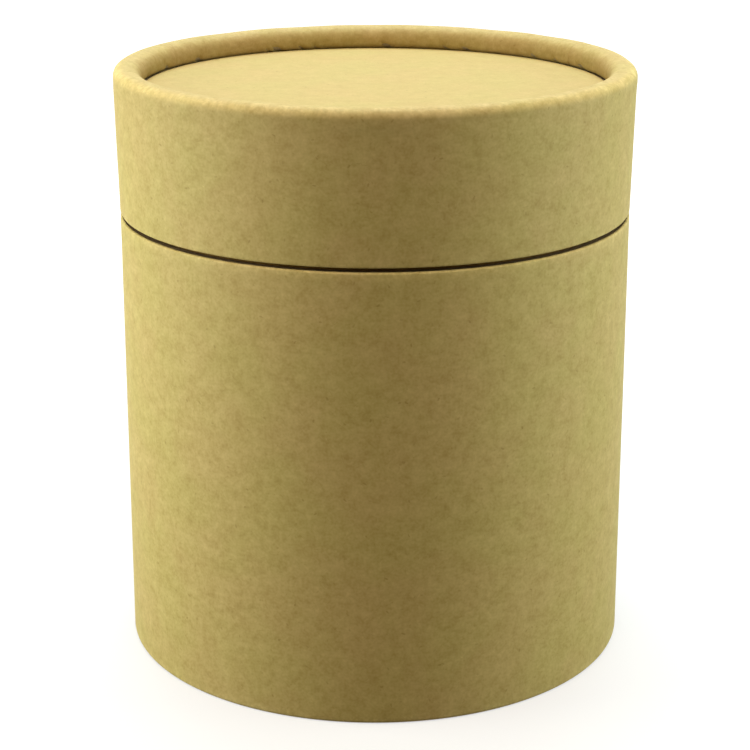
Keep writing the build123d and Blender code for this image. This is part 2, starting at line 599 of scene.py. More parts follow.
def bearing_off(spot: Vector, direction: float) -> float:
    """How far round the axis a point lies from a direction, from minus to plus half a turn."""
    return (bearing(spot, direction) + math.pi) % FULL_TURN - math.pi


def smooth(value: float, low: float, high: float) -> float:
    """Smooth step from 0 at the low value to 1 at the high one."""
    share = min(1.0, max(0.0, (value - low) / (high - low)))
    return share * share * (3 - 2 * share)


def peak(value: float, middle: float, reach: float) -> float:
    """Smooth peak of 1 at the middle, which falls to 0 over its reach to each side."""
    return 1 - smooth(abs(value - middle), 0, reach)


def ripple(spot: Vector, length: float, seed: float, stretch: float = 1.0) -> float:
    """Smooth unevenness from about -1 to 1; its ripples have a length, and may be stretched upwards."""
    place = Vector((spot.x, spot.y, spot.z / stretch)) / length
    return RIPPLE_GAIN * noise.noise(place + Vector((seed, -seed, 2 * seed)))


def unroll(mesh: Mesh, radius: float, start: float) -> None:
    """Gives a turned skin the UV map of the flat sheet that it was.

    Args:
        mesh: the skin.
        radius: radius at which the sheet's width is true.
        start: direction where the sheet's ends meet.
    """
    run = mesh.verts.layers.float[RUN]
    uv = mesh.loops.layers.uv.new(SHEET_UV)
    for face in mesh.faces:
        middle = bearing(face.calc_center_median(), start)
        for loop in face.loops:
            angle = middle + bearing_off(loop.vert.co, middle + start)
            loop[uv].uv = (angle * radius, loop.vert[run])


def lay_flat(mesh: Mesh) -> None:
    """Gives a flat round sheet the UV map of its own plane.

    Args:
        mesh: the sheet.
    """
    uv = mesh.loops.layers.uv.new(SHEET_UV)
    for face in mesh.faces:
        for loop in face.loops:
            loop[uv].uv = (loop.vert.co.x, loop.vert.co.y + loop.vert.co.z)


def raise_face(mesh: Mesh, height: Callable[[Vector], float]) -> None:
    """Moves the shown side of a sheet along its own normals.

    Args:
        mesh: the sheet.
        height: how far a point moves out.
    """
    face = mesh.verts.layers.float[FACE]
    moves = [(vert, vert.normal * height(vert.co)) for vert in mesh.verts if vert[face] > 0]
    for vert, move in moves:
        vert.co += move
    mesh.normal_update()


def mark(mesh: Mesh, name: str, amount: Callable[[Vector], float]) -> None:
    """Stores an amount for each point in one layer: scuffing with painted highlight, which pales, and dusting
    with painted shade, which darkens.

    Args:
        mesh: the piece.
        name: WEAR_AND_HIGHLIGHT or DUST_AND_SHADE.
        amount: gives 0 to 1 for a point.
    """
    layer = mesh.verts.layers.float[name]
    for vert in mesh.verts:
        vert[layer] = amount(vert.co)


@dataclass(frozen=True)
class Overlap:
    """Glued overlap of a wrap's two ends: a crisp step on one side, a soft one on the other.

    Attributes:
        direction: where the outer end lies, round Z from +X.
        width: how far the ends overlap.
        thickness: thickness of the paper.
        step: width over which the outer end drops.
        ease: width over which the paper climbs on to its own start.
    """

    direction: float
    width: float
    thickness: float
    step: float = 0.03 * MM
    ease: float = 1.4 * MM

    def sharpen(self, mesh: Mesh, radius: float, steps: int) -> None:
        """Brings the column of points before the outer end close to it, so that the end is crisp.

        Args:
            mesh: the wrap, whose first column lies at the direction.
            radius: radius of the wall.
            steps: number of columns.
        """
        pitch = FULL_TURN / steps
        column = [v for v in mesh.verts if abs(bearing_off(v.co, self.direction - pitch)) < pitch / 4]
        swing(mesh, pitch - self.step / radius, column)

    def height(self, spot: Vector, radius: float) -> float:
        """How far the overlap lifts a point.

        Args:
            spot: the point.
            radius: radius of the wall.

        Returns:
            A height, up to the paper's thickness.
        """
        off = bearing_off(spot, self.direction) * radius
        if off < -self.step / 2:
            return 0.0
        return self.thickness * (1 - smooth(off, self.width - self.ease, self.width))


@dataclass(frozen=True)
class Slack:
    """How a glued wrap strays from an even wall: broad and fine slack, and dents along one edge.

    Attributes:
        size: size of the broad slack, which is stretched upwards.
        edge: height of the dented edge.
        seeds: patterns of the broad slack, the fine slack and the dents.
        broad: height of the broad slack, in millimetres.
        fine: height of the fine slack, in millimetres.
        dent: height of the dents, in millimetres.
        reach: how far from the edge the dents reach.
    """

    size: float
    edge: float
    seeds: tuple[float, float, float]
    broad: float = 0.022
    fine: float = 0.01
    dent: float = 0.03
    reach: float = 2 * MM

    def height(self, spot: Vector) -> float:
        """How far a point strays.

        Args:
            spot: the point.

        Returns:
            A height in millimetres.
        """
        broad, fine, dent = self.seeds
        slack = self.broad * ripple(spot, self.size, broad, 2.0) + self.fine * ripple(spot, 5 * MM, fine)
        return slack + self.dent * ripple(spot, 6 * MM, dent) * peak(spot.z, self.edge, self.reach)


@dataclass(frozen=True)
class SlantWinding:
    """Lining wound on the slant, whose strip meets itself in a fine groove.

    Attributes:
        inside: inner radius at the lower end.
        paper: thickness of the lining.
        low: lower end.
        high: upper end.
        flare: how much wider the upper end is.
        rise: how far the winding climbs in a turn.
        groove_width: width of the joint.
        groove_depth: depth of the joint.
        slack: height of the lining's unevenness.
        slack_size: size of it.
        row: height of a row of faces, low enough that the twist keeps both sides round.
    """

    inside: float
    paper: float
    low: float
    high: float
    flare: float = 0.0
    rise: float = 108 * MM
    groove_width: float = 0.35 * MM
    groove_depth: float = 0.07 * MM
    slack: float = 0.015 * MM
    slack_size: float = 12 * MM
    row: float = 1.2 * MM

    def mesh(self, steps: int) -> Mesh:
        """Turns the lining and twists it, so that the joint follows the winding.

        Args:
            steps: divisions round the axis.

        Returns:
            The lining.
        """
        rows = math.ceil((self.high - self.low) / self.row)
        section = Profile(self.inside, self.high).line(self.inside, self.low, rows)
        section.turn_over().line(self.inside + self.paper, self.low)
        mesh = section.line(self.inside + self.paper, self.high, rows).revolve(steps)
        pitch = FULL_TURN / steps
        for side in (-1, 1):
            column = [v for v in mesh.verts if abs(bearing_off(v.co, side * pitch)) < pitch / 4]
            swing(mesh, side * (self.groove_width / 2 / self.inside - pitch), column)
        raise_face(mesh, self.relief)
        unroll(mesh, self.inside, 0)
        for vert in mesh.verts:
            climbed = vert.co.z - self.low
            vert.co.xy *= 1 + self.flare * climbed / (self.high - self.low) / vert.co.xy.length
            vert.co = Matrix.Rotation(climbed / self.rise * FULL_TURN, 3, "Z") @ vert.co
        mesh.normal_update()
        return mesh

    def relief(self, spot: Vector) -> float:
        """How far the lining stands off its even shape at a point, before the twist."""
        joint = abs(bearing_off(spot, 0)) * self.inside < self.groove_width / 4
        return self.slack * ripple(spot, self.slack_size, 6) - (self.groove_depth if joint else 0.0)


@dataclass(frozen=True)
class CutEdge:
    """Flat cut edge of a wound board, whose glue lines are shallow rings.

    Attributes:
        height: height of the cut.
        inner: radius where it starts.
        outer: radius where it ends.
        plies: number of plies.
        board_above: whether the board lies above the cut.
        groove: depth of a glue line.
        groove_reach: half width of a glue line, in plies.
        fray: depth of the roughness.
        fray_size: size of the roughness.
    """

    height: float
    inner: float
    outer: float
    plies: int
    board_above: bool
    groove: float = 0.035 * MM
    groove_reach: float = 0.3
    fray: float = 0.012 * MM
    fray_size: float = 0.8 * MM

    def depth(self, spot: Vector) -> float:
        """How far a point moves upwards, into the board.

        Args:
            spot: the point.

        Returns:
            A height, negative where the board lies below.
        """
        phase = (spot.xy.length - self.inner) / (self.outer - self.inner) * self.plies % 1.0
        line = self.groove * peak(min(phase, 1 - phase), 0, self.groove_reach)
        sunk = line + self.fray * (1 + ripple(spot, self.fray_size, 5))
        return sunk if self.board_above else -sunk

    def carve(self, mesh: Mesh) -> None:
        """Sinks the glue lines into a board, and roughens its cut edge.

        Args:
            mesh: the board.
        """
        for vert in mesh.verts:
            if abs(vert.co.z - self.height) < MERGE_DISTANCE:
                vert.co.z += self.depth(vert.co)
        mesh.normal_update()


@dataclass(frozen=True)
class Finishes:
    """The materials of the box."""

    wrap: Material
    facing: Material
    lining: Material
    board: Material

    def of(self, slot: Slot) -> Material:
        """The material of a slot."""
        return {Slot.WRAP: self.wrap, Slot.LINING: self.lining, Slot.BOARD: self.board}[slot]


@dataclass
class Assembly:
    """One body of the box, and what all its pieces share.

    Attributes:
        finishes: the materials.
        body: the body that the pieces ride on.
        overlap_direction: where the outer end of the body's wrap lies.
        steps: divisions round the axis of the pieces that show most.
        coarse_steps: divisions round the axis of the others.
        crease_angle: edges that turn more than this stay sharp.
        ply_parts: number of edges across one ply of a cut edge.
        edge_turn: radius of the paper where it turns over a cut edge.
        overlap_width: how far the ends of a wrap overlap.
        circle_parts: number of edges from the middle of a paper circle to its edge.
        circle_border: width of a paper circle's border, which lies flatter and darkens towards its edge with
            painted shade.
        circle_edge_shade: how dark the painted shade at the edge of a paper circle is.
        circle_ease: rounding of its edge, against its thickness.
        circle_swells: height against its thickness, size and pattern of its broad and fine swells.
        seam_wear_and_highlight: how much the wraps are paled at the seam's edges, partly scuffing and partly
            painted highlight.
        seam_wear_and_highlight_reach: how far from the seam the paling reaches.
        paper: thickness of the paper.
        tube_radius: outside radius of the box at the seam.
        overlap: the overlap of the body's wrap.
    """

    finishes: Finishes
    body: Body
    overlap_direction: float = 0.0
    steps: int = 720
    coarse_steps: int = 360
    crease_angle: float = math.radians(40)
    ply_parts: int = 4
    edge_turn: float = 0.4 * MM
    overlap_width: float = 8 * MM
    circle_parts: int = 44
    circle_border: float = 3 * MM
    circle_edge_shade: float = 0.2
    circle_ease: float = 0.3
    circle_swells: tuple[tuple[float, float, float], ...] = ((0.12, 13 * MM, 0), (0.05, 4 * MM, 3))
    seam_wear_and_highlight: float = 0.8
    seam_wear_and_highlight_reach: float = 0.9 * MM
    paper: float = field(init=False)
    tube_radius: float = field(init=False)
    overlap: Overlap = field(init=False)

    def __post_init__(self) -> None:
        """Reads the sizes that both bodies share."""
        low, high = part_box("base_disc_facing")
        self.paper = high.z - low.z
        self.tube_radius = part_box("base_wrap")[1].x
        self.overlap = Overlap(self.overlap_direction, self.overlap_width, self.paper)

    def relief(self, spot: Vector) -> float:
        """How far the body's wrap stands off its even shape at a point."""
        raise NotImplementedError

    def place(self, mesh: Mesh, node: str, slot: Slot) -> bpy.types.Object:
        """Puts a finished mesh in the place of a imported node.

        Args:
            mesh: the mesh, which is freed.
            node: the node that the piece stands for.
            slot: the record's slot for its finish.

        Returns:
            The new piece.
        """
        for face in mesh.faces:
            face.smooth = True
        for edge in mesh.edges:
            edge.smooth = edge.calc_face_angle(0.0) < self.crease_angle
        data = bpy.data.meshes.new(node + "_made")
        mesh.to_mesh(data)
        mesh.free()
        data.materials.append(self.finishes.of(slot))
        piece = bpy.data.objects.new(node + "_made", data)
        bpy.context.scene.collection.objects.link(piece)
        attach(piece, self.body.value)
        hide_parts(node)
        LOG.info("%s: %d faces", piece.name, len(data.polygons))
        return piece

    def paper_circle(self, node: str, slot: Slot, face_up: bool, seed: float) -> bpy.types.Object:
        """Makes a round sheet that is glued flat, with faint swells where the glue dried unevenly.

        Args:
            node: the node that it stands for.
            slot: the record's slot for its finish.
            face_up: whether its shown side looks up.
            seed: picks the pattern of the swells.

        Returns:
            The piece.
        """
        low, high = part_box(node)
        shown, glued = (high.z, low.z) if face_up else (low.z, high.z)
        ease = self.circle_ease * self.paper
        sense = 1 if face_up else -1
        border = high.x - self.circle_border
        section = Profile(0, shown).line(high.x - ease, shown, self.circle_parts)
        section.arc(high.x - ease, shown - sense * ease, -sense * QUARTER_TURN, 3)
        section.turn_over().line(high.x, glued).line(0, glued, 3)
        mesh = section.revolve(self.coarse_steps, closed=False)

        def swell(spot: Vector) -> float:
            """How far the sheet stands off at a point."""
            waves = sum(high * ripple(spot, size, seed + more) for high, size, more in self.circle_swells)
            return (1 - smooth(spot.xy.length, border, high.x - ease)) * self.paper * waves

        raise_face(mesh, swell)
        # Painted shade: the circle darkens towards its edge, as under the rim.
        mark(mesh, DUST_AND_SHADE, lambda spot: self.circle_edge_shade * smooth(spot.xy.length, border, high.x))
        lay_flat(mesh)
        return self.place(mesh, node, slot)

    def on_wall(self, spot: Vector, radius: float) -> float:
        """1 outside on a wall of a radius, falling to 0 where the paper turns over its edges."""
        return smooth(spot.xy.length, radius - 0.7 * self.edge_turn, radius)

    def edge_wear_and_highlight(self, spot: Vector, edge: float) -> float:
        """How much a wrap is paled at a point near its edge at the seam, from 0 to 1: scuffing and a painted
        highlight.
        """
        return self.seam_wear_and_highlight * peak(spot.z, edge, self.seam_wear_and_highlight_reach)

    def turn_wrap(self, section: Profile) -> Mesh:
        """Turns the body's wrap and gives it its overlap and its slack.

        Args:
            section: the wrap's section.

        Returns:
            The wrap.
        """
        mesh = section.revolve(self.steps, self.overlap.direction)
        self.overlap.sharpen(mesh, self.tube_radius, self.steps)
        raise_face(mesh, self.relief)
        return mesh


@dataclass
class Base(Assembly):
    """The deep base: wrapped tube, bottom disc, and the neck that stands in it.

    Attributes:
        foot_turn: radius of the paper where it turns under the foot.
        foot_wear: height up to which the foot is scuffed.
        wall: thickness of the base's board.
        ply_count: number of plies in the base's board.
        neck_ply_count: number of plies in the neck's board.
        neck_wear: depth down to which the neck's top is scuffed.
        cut_dust_and_shade: how much the cut edge of the base's board is darkened, partly dusting and partly
            painted shade in the seam.
        seam_rows: number of edges of the neck's wrap where it shows in the seam.
    """

    overlap_direction: float = math.radians(85)
    foot_turn: float = 0.6 * MM
    foot_wear: float = 1.6 * MM
    wall: float = 1.4 * MM
    ply_count: int = 4
    neck_ply_count: int = 3
    neck_wear: float = 1.2 * MM
    cut_dust_and_shade: float = 0.75
    seam_rows: int = 12

    def __post_init__(self) -> None:
        """Reads the base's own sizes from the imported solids."""
        super().__post_init__()
        self.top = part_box("base_wrap")[1].z
        self.bore = self.tube_radius - self.paper - self.wall
        self.neck_foot, self.neck_top = (corner.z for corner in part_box("neck_tube"))
        self.neck_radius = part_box("neck_wrap")[1].x
        self.neck_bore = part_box("neck_liner")[1].x
        self.slack = Slack(17 * MM, self.top, (1, 4, 7))

    def build(self) -> None:
        """Makes all pieces of the base."""
        self.wrap()
        self.tube()
        self.neck_wrap()
        self.neck_tube()
        lining = SlantWinding(self.neck_bore - self.paper, self.paper, self.neck_foot, self.neck_top)
        self.place(lining.mesh(self.coarse_steps), "neck_liner", Slot.LINING)
        self.paper_circle("base_disc_facing", Slot.WRAP, False, 2.0)
        self.paper_circle("base_floor_lining", Slot.LINING, True, 9.0)

    def relief(self, spot: Vector) -> float:
        """How far the base's wrap stands off its even shape at a point."""
        lift = self.overlap.height(spot, self.tube_radius) + self.slack.height(spot) * MM
        return lift * self.on_wall(spot, self.tube_radius)

    def turned_wrap(
        self, radius: float, low: float, high: float, low_turn: float, parts: int,
        seam: tuple[float, ...] = (),
    ) -> Profile:
        """Draws a wrap that turns over its board's upper edge, and under its lower one if that is eased.

        Args:
            radius: outside radius.
            low: lower end.
            high: upper end.
            low_turn: radius of the lower turn, or 0 for a cut end.
            parts: number of edges up the wall.
            seam: two heights between which the wall has finer edges; the parts are then above and below.

        Returns:
            The section.
        """
        paper, turn = self.paper, self.edge_turn
        section = Profile(radius - low_turn, low)
        if low_turn:
            section.arc(radius - low_turn, low + low_turn, QUARTER_TURN, 6)
        if seam:
            section.line(radius, seam[0], parts).line(radius, seam[1], self.seam_rows)
        section.line(radius, high - turn, parts)
        section.arc(radius - turn, high - turn, QUARTER_TURN, 5)
        section.turn_over().line(radius - turn, high - paper)
        section.arc(radius - turn, high - turn, -QUARTER_TURN, 3)
        section.line(radius - paper, low + low_turn, 4)
        if low_turn:
            section.arc(radius - low_turn, low + low_turn, -QUARTER_TURN, 4)
        return section

    def turned_board(self, section: Profile, bore: float, radius: float, top: float, plies: int) -> Mesh:
        """Draws a board from the foot of its outside up to its cut top edge, and turns it.

        Args:
            section: the section so far.
            bore: inner radius.
            radius: outside radius of the paper round the board.
            top: height of the cut edge.
            plies: number of plies.

        Returns:
            The board.
        """
        cut = radius - self.edge_turn
        section.line(radius - self.paper, top - self.edge_turn, 3)
        section.arc(cut, top - self.edge_turn, QUARTER_TURN, 3).line(cut, top)
        mesh = section.line(bore, top, self.ply_parts * plies).revolve(self.coarse_steps)
        CutEdge(top, bore, cut, plies, False).carve(mesh)
        return mesh

    def wrap(self) -> None:
        """Makes the base's kraft paper, from its turn under the foot to the seam."""
        mesh = self.turn_wrap(self.turned_wrap(self.tube_radius, 0, self.top, self.foot_turn, 64))
        # Scuffing at the foot; at the seam's edge, scuffing with a painted highlight.
        mark(mesh, WEAR_AND_HIGHLIGHT, lambda spot: max(peak(spot.z, 0, self.foot_wear), self.edge_wear_and_highlight(spot, self.top)))
        unroll(mesh, self.tube_radius, self.overlap.direction)
        self.place(mesh, "base_wrap", Slot.WRAP)

    def tube(self) -> None:
        """Makes the base's board tube with its two cut edges."""
        cut_foot = self.tube_radius - self.foot_turn
        section = Profile(self.bore, 0).line(cut_foot, 0, self.ply_parts * self.ply_count)
        section.line(cut_foot, self.paper).arc(cut_foot, self.foot_turn, QUARTER_TURN, 4)
        mesh = self.turned_board(section, self.bore, self.tube_radius, self.top, self.ply_count)
        CutEdge(0, self.bore, cut_foot, self.ply_count, True).carve(mesh)
        # Dusting and painted shade: the board darkens towards its cut top edge, which shows in the seam.
        mark(mesh, DUST_AND_SHADE, lambda spot: self.cut_dust_and_shade * smooth(spot.z, self.top - self.edge_turn, self.top))
        self.place(mesh, "base_tube", Slot.BOARD)

    def neck_wrap(self) -> None:
        """Makes the paper round the neck, which turns over its top edge and is darkened in the seam, partly
        as a glue line and partly as painted shade.
        """
        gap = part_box("lid_wrap")[0].z - self.top
        seam = (self.top - gap, self.top + 2 * gap)
        section = self.turned_wrap(self.neck_radius, self.neck_foot, self.neck_top, 0, 30, seam)
        mesh = section.revolve(self.steps)
        slack = 0.02 * MM
        raise_face(mesh, lambda s: slack * ripple(s, 14 * MM, 3, 2.0) * self.on_wall(s, self.neck_radius))
        mark(mesh, WEAR_AND_HIGHLIGHT, lambda spot: peak(spot.z, self.neck_top, self.neck_wear))
        # Painted shade: a dark band on the neck in the seam's gap, partly also a glue line.
        mark(mesh, DUST_AND_SHADE, lambda spot: smooth(1.5 * gap - abs(spot.z - self.top - 0.5 * gap), 0, gap))
        unroll(mesh, self.neck_radius, 0)
        self.place(mesh, "neck_wrap", Slot.WRAP)

    def neck_tube(self) -> None:
        """Makes the neck's board tube, whose cut edge shows when the lid is off."""
        section = Profile(self.neck_bore, self.neck_foot)
        section.line(self.neck_radius - self.paper, self.neck_foot, 2)
        size = (self.neck_bore, self.neck_radius, self.neck_top, self.neck_ply_count)
        self.place(self.turned_board(section, *size), "neck_tube", Slot.BOARD)


@dataclass
class Lid(Assembly):
    """The lid: wrapped tube with its rolled rim, disc, and papers.

    Attributes:
        wall: thickness of the lid's board.
        flare: how much wider the wall is below the roll than at the mouth.
        swell: how far the roll stands out past the wall.
        swell_height: height over which it swells.
        shoulder: radius of the roll's outer bend.
        hollow: width of the hollow in the roll.
        tuck: radius of the paper where it turns under the rolled leg.
        gather_depth: height of the gathers inside the roll.
        gather_lean: how far the gathers lean, as a slope.
        folds: width, length and pattern of the soft folds.
        creases: width, length and pattern of the sharp creases.
        crease_depth: depth of the creases, against the height of the gathers.
        crease_share: share of a crease's width that is sunk.
        nick_width: width of the nicks where the paper is tucked in.
        nick_depth: depth of the nicks, against the height of the gathers.
        nick_range: strengths of the pattern at which a nick starts and is full.
        roll_slack: height of the roll's unevenness, in millimetres.
        lap_pressed: how far the overlap is pressed flat on the roll.
        crown_wear_and_highlight: how much the top of the roll is paled, partly scuffing and partly a painted
            highlight.
        roll_dust_and_shade: how much the inside of the roll is darkened, partly dusting and partly painted
            shade.
        tuck_dust_and_shade: how much darker it is made where it is tucked in, partly dusting and partly
            painted shade.
        tuck_dust_and_shade_height: height over which that fades.
        ply_count: number of plies in the board.
    """

    overlap_direction: float = math.radians(29)
    wall: float = 1.2 * MM
    flare: float = 0.5 * MM
    swell: float = 0.05 * MM
    swell_height: float = 2.3 * MM
    shoulder: float = 1.7 * MM
    hollow: float = 2.2 * MM
    tuck: float = 1.3 * MM
    gather_depth: float = 0.07 * MM
    gather_lean: float = 0.8
    folds: tuple[float, float, float] = (1.5 * MM, 5 * MM, 3.0)
    creases: tuple[float, float, float] = (2.7 * MM, 9 * MM, 8.0)
    crease_depth: float = 0.9
    crease_share: float = 0.07
    nick_width: float = 1.4 * MM
    nick_depth: float = 6.0
    nick_range: tuple[float, float] = (0.22, 0.45)
    roll_slack: float = 0.05
    lap_pressed: float = 0.8
    crown_wear_and_highlight: float = 0.9
    roll_dust_and_shade: float = 0.42
    tuck_dust_and_shade: float = 0.35
    tuck_dust_and_shade_height: float = 0.7 * MM
    ply_count: int = 3

    def __post_init__(self) -> None:
        """Reads the lid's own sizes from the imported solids."""
        super().__post_init__()
        low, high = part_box("lid_wrap")
        self.mouth, self.top, self.rim = low.z, high.z, high.x
        self.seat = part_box("lid_disc")[1].z
        self.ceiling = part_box("lid_disc_lining")[0].z
        self.waist = self.tube_radius + self.flare
        self.roll = self.hollow / 2 + self.wall + self.paper
        self.roll_z = self.top - self.roll
        self.shoulder_z = self.top - self.shoulder
        self.roll_centre = self.rim - self.roll
        self.shoulder_centre = self.rim - self.shoulder
        self.rim_inside = self.rim - 2 * self.roll
        self.leg_outside = self.rim_inside + self.paper + self.wall
        self.waist_z = self.shoulder_z - self.swell_height
        self.tuck_z = self.seat + self.tuck
        self.swell_radius = (self.swell_height**2 + self.swell**2) / (2 * self.swell)
        self.swell_angle = math.asin(self.swell_height / self.swell_radius)
        self.slack = Slack(15 * MM, self.mouth, (2, 8, 11))

    def build(self) -> None:
        """Makes all pieces of the lid."""
        self.wrap()
        self.tube()
        bore = self.tube_radius - self.paper - self.wall
        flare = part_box("lid_liner")[1].x - bore
        lining = SlantWinding(bore - self.paper, self.paper, self.mouth, self.ceiling, flare)
        self.place(lining.mesh(self.coarse_steps), "lid_liner", Slot.LINING)
        facing = self.paper_circle("lid_disc_facing", Slot.WRAP, True, 5.0)
        facing.data.materials[0] = self.finishes.facing
        self.paper_circle("lid_disc_lining", Slot.LINING, False, 12.0)

    def layer_up(self, section: Profile, depth: float, parts: tuple[int, int, int, int, int, int]) -> None:
        """Draws a layer from the mouth over the roll to the seat on the disc.

        Args:
            section: the section so far, which ends at the top of the mouth's turn.
            depth: how deep the layer lies under the paper's face.
            parts: number of edges of the wall, the swell, the shoulder, the roll, the leg and the tuck.
        """
        wall, swell, shoulder, roll, leg, tuck = parts
        section.line(self.waist - depth, self.waist_z, wall)
        section.arc(self.rim - depth - self.swell_radius, self.shoulder_z, self.swell_angle, swell)
        section.arc(self.shoulder_centre, self.shoulder_z, QUARTER_TURN, shoulder)
        section.line(self.roll_centre, self.top - depth, 2)
        section.arc(self.roll_centre, self.roll_z, QUARTER_TURN, roll)
        section.line(self.rim_inside + depth, self.tuck_z, leg)
        section.arc(self.rim_inside + self.tuck, self.tuck_z, QUARTER_TURN, tuck)

    def roll_down(self, section: Profile, depth: float, parts: int) -> None:
        """Draws the underside of a layer back over the roll to the waist.

        Args:
            section: the section so far, which ends where the roll starts inside the rim.
            depth: how deep the layer lies under the paper's face.
            parts: number of edges of each bend.
        """
        section.arc(self.roll_centre, self.roll_z, -QUARTER_TURN, parts)
        section.line(self.shoulder_centre, self.top - depth)
        section.arc(self.shoulder_centre, self.shoulder_z, -QUARTER_TURN, parts)
        section.arc(self.rim - depth - self.swell_radius, self.shoulder_z, -self.swell_angle, 2)

    def wrap(self) -> None:
        """Makes the lid's kraft paper, from the mouth over the roll to its tucked end."""
        paper, turn = self.paper, self.edge_turn
        section = Profile(self.tube_radius - turn, self.mouth)
        section.arc(self.tube_radius - turn, self.mouth + turn, QUARTER_TURN, 5)
        self.layer_up(section, 0, (22, 5, 14, 16, 2, 7))
        section.line(self.leg_outside, self.seat)
        section.turn_over().line(self.leg_outside, self.seat + paper)
        section.line(self.rim_inside + self.tuck, self.seat + paper)
        section.arc(self.rim_inside + self.tuck, self.tuck_z, -QUARTER_TURN, 4)
        section.line(self.rim_inside + paper, self.roll_z)
        self.roll_down(section, paper, 7)
        section.line(self.tube_radius - paper, self.mouth + turn, 2)
        section.arc(self.tube_radius - turn, self.mouth + turn, -QUARTER_TURN, 3)
        mesh = self.turn_wrap(section)
        self.gather(mesh)
        # Painted highlight: the roll's crown and the mouth's edge are paled, partly as scuffing.
        mark(mesh, WEAR_AND_HIGHLIGHT, self.wear_and_highlight_at)
        # Painted shade: the inside of the roll darkens, most where the paper is tucked, partly as dusting.
        mark(mesh, DUST_AND_SHADE, self.dust_and_shade_at)
        unroll(mesh, self.tube_radius, self.overlap.direction)
        self.place(mesh, "lid_wrap", Slot.WRAP)

    def relief(self, spot: Vector) -> float:
        """How far the lid's wrap stands off its even shape at a point, without the gathers.

        Args:
            spot: the point.

        Returns:
            A height along the normal.
        """
        free = 1.0
        if spot.z < self.mouth + self.edge_turn:
            free = self.on_wall(spot, self.tube_radius)
        elif spot.xy.length < self.roll_centre:
            free = smooth(spot.z, self.seat, self.tuck_z)
        curled = smooth(spot.z, self.waist_z, self.roll_z)
        rolled = self.roll_slack * ripple(spot, 9 * MM, 17) * curled
        pressed = 1 - self.lap_pressed * curled
        lift = pressed * self.overlap.height(spot, self.tube_radius)
        return (lift + (self.slack.height(spot) + rolled) * MM) * free

    def gather(self, mesh: Mesh) -> None:
        """Gathers the paper inside the roll, where it has less room: slanting folds, and nicks at the disc.

        Args:
            mesh: the wrap.
        """
        run, face = (mesh.verts.layers.float[name] for name in (RUN, FACE))
        for vert in mesh.verts:
            spot, along = vert.co, vert[run]
            reach = spot.xy.length
            if vert[face] < 1 or reach > self.roll_centre or spot.z < self.seat + MERGE_DISTANCE:
                continue
            inward = smooth(self.roll_centre - reach, 0, self.roll)
            down = smooth(self.top - spot.z, 0.3 * self.roll, self.roll + self.tuck)
            tucked = smooth(self.tuck_z + 0.4 * MM - spot.z, 0, self.tuck)
            slant = bearing(spot, self.overlap.direction) * self.rim_inside + self.gather_lean * along
            fold, crease = (
                noise.noise(Vector((slant / width, along / length, seed)))
                for width, length, seed in (self.folds, self.creases)
            )
            nick = smooth(noise.noise(Vector((slant / self.nick_width, 1.5, 21.0))), *self.nick_range)
            sharp = max(0.0, 1 - abs(crease) / self.crease_share)
            sunk = self.crease_depth * sharp * down + self.nick_depth * tucked * nick
            vert.co.xy *= 1 - self.gather_depth * (inward * fold - sunk) / reach
        mesh.normal_update()

    def wear_and_highlight_at(self, spot: Vector) -> float:
        """How much the lid's paper is paled at a point, from 0 to 1: scuffing with a painted highlight on the
        roll's crown and at the mouth's edge.
        """
        crown = peak(spot.z, self.top, 0.8 * self.roll) * smooth(spot.xy.length, self.roll_centre, self.rim)
        return max(self.crown_wear_and_highlight * crown, self.edge_wear_and_highlight(spot, self.mouth))

    def dust_and_shade_at(self, spot: Vector) -> float:
        """How much the lid's paper is darkened at a point, from 0 to 1, by dusting and painted shade: inside
        the roll, most where it is tucked.
        """
        dust_and_shade = self.roll_dust_and_shade + self.tuck_dust_and_shade * (
            1 - smooth(spot.z, self.seat, self.seat + self.tuck_dust_and_shade_height)
        )
        return dust_and_shade * smooth(self.roll_centre - spot.xy.length, 0.4 * self.roll, self.roll)

    def tube(self) -> None:
        """Makes the lid's board tube with its rolled edge and the cut edge of its mouth."""
        inside = self.paper + self.wall
        cut, bore = self.tube_radius - self.edge_turn, self.tube_radius - inside
        section = Profile(bore, self.mouth)
        section.line(cut, self.mouth, self.ply_parts * self.ply_count)
        section.line(cut, self.mouth + self.paper)
        section.arc(cut, self.mouth + self.edge_turn, QUARTER_TURN, 3)
        self.layer_up(section, self.paper, (2, 2, 9, 10, 1, 4))
        section.line(self.leg_outside, self.seat + self.paper).line(self.leg_outside, self.roll_z)
        self.roll_down(section, inside, 6)
        mesh = section.revolve(self.coarse_steps)
        CutEdge(self.mouth, bore, cut, self.ply_count, True).carve(mesh)
        self.place(mesh, "lid_tube", Slot.BOARD)


@dataclass(frozen=True)
class Softbox:
    """A square soft lamp that looks at the box.

    Attributes:
        name: the lamp's name.
        azimuth: its direction from the box, round Z from the camera's side to the right, in degrees.
        elevation: how high it hangs, in degrees.
        distance: how far it is from the box.
        size: its width.
        power: its power in watts.
        tint: its colour.
        aim: height on the box's axis that it looks at.
    """

    name: str
    azimuth: float
    elevation: float
    distance: float
    size: float
    power: float
    tint: Colour
    aim: float = 0.06

    def hang(self) -> None:
        """Adds the lamp to the scene."""
        data = bpy.data.lights.new(self.name, "AREA")
        data.size, data.energy, data.color = self.size, self.power, self.tint
        lamp = bpy.data.objects.new(self.name, data)
        azimuth, elevation = math.radians(self.azimuth), math.radians(self.elevation)
        level, rise = self.distance * math.cos(elevation), self.distance * math.sin(elevation)
        outward = Vector((level * math.sin(azimuth), -level * math.cos(azimuth), rise))
        lamp.location = self.aim * UP + outward
        lamp.rotation_euler = outward.to_track_quat("Z", "Y").to_euler()
        lamp.visible_camera = False
        bpy.context.scene.collection.objects.link(lamp)


